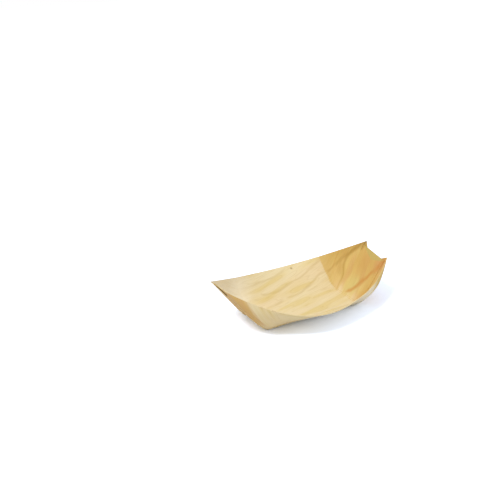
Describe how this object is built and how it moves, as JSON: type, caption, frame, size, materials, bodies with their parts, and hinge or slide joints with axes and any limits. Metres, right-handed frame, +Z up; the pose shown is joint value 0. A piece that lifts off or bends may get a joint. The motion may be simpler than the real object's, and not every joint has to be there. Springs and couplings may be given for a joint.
{
  "type": "wooden food boat",
  "caption": "Disposable food boat folded from one sheet of pine veneer, with a flat floor, curled side walls and sloping end panels between pointed corners.",
  "frame": {"origin": "middle of the floor's underside, on the surface that the boat stands on", "axes": "+X along the boat from one end panel to the other, +Y across it, +Z up"},
  "size_m": [0.1906, 0.1212, 0.0523],
  "materials": {
    "veneer": "bare pine veneer, smooth sliced face"
  },
  "bodies": {
    "root": {"folded_veneer": "veneer"}
  },
  "joints": []
}
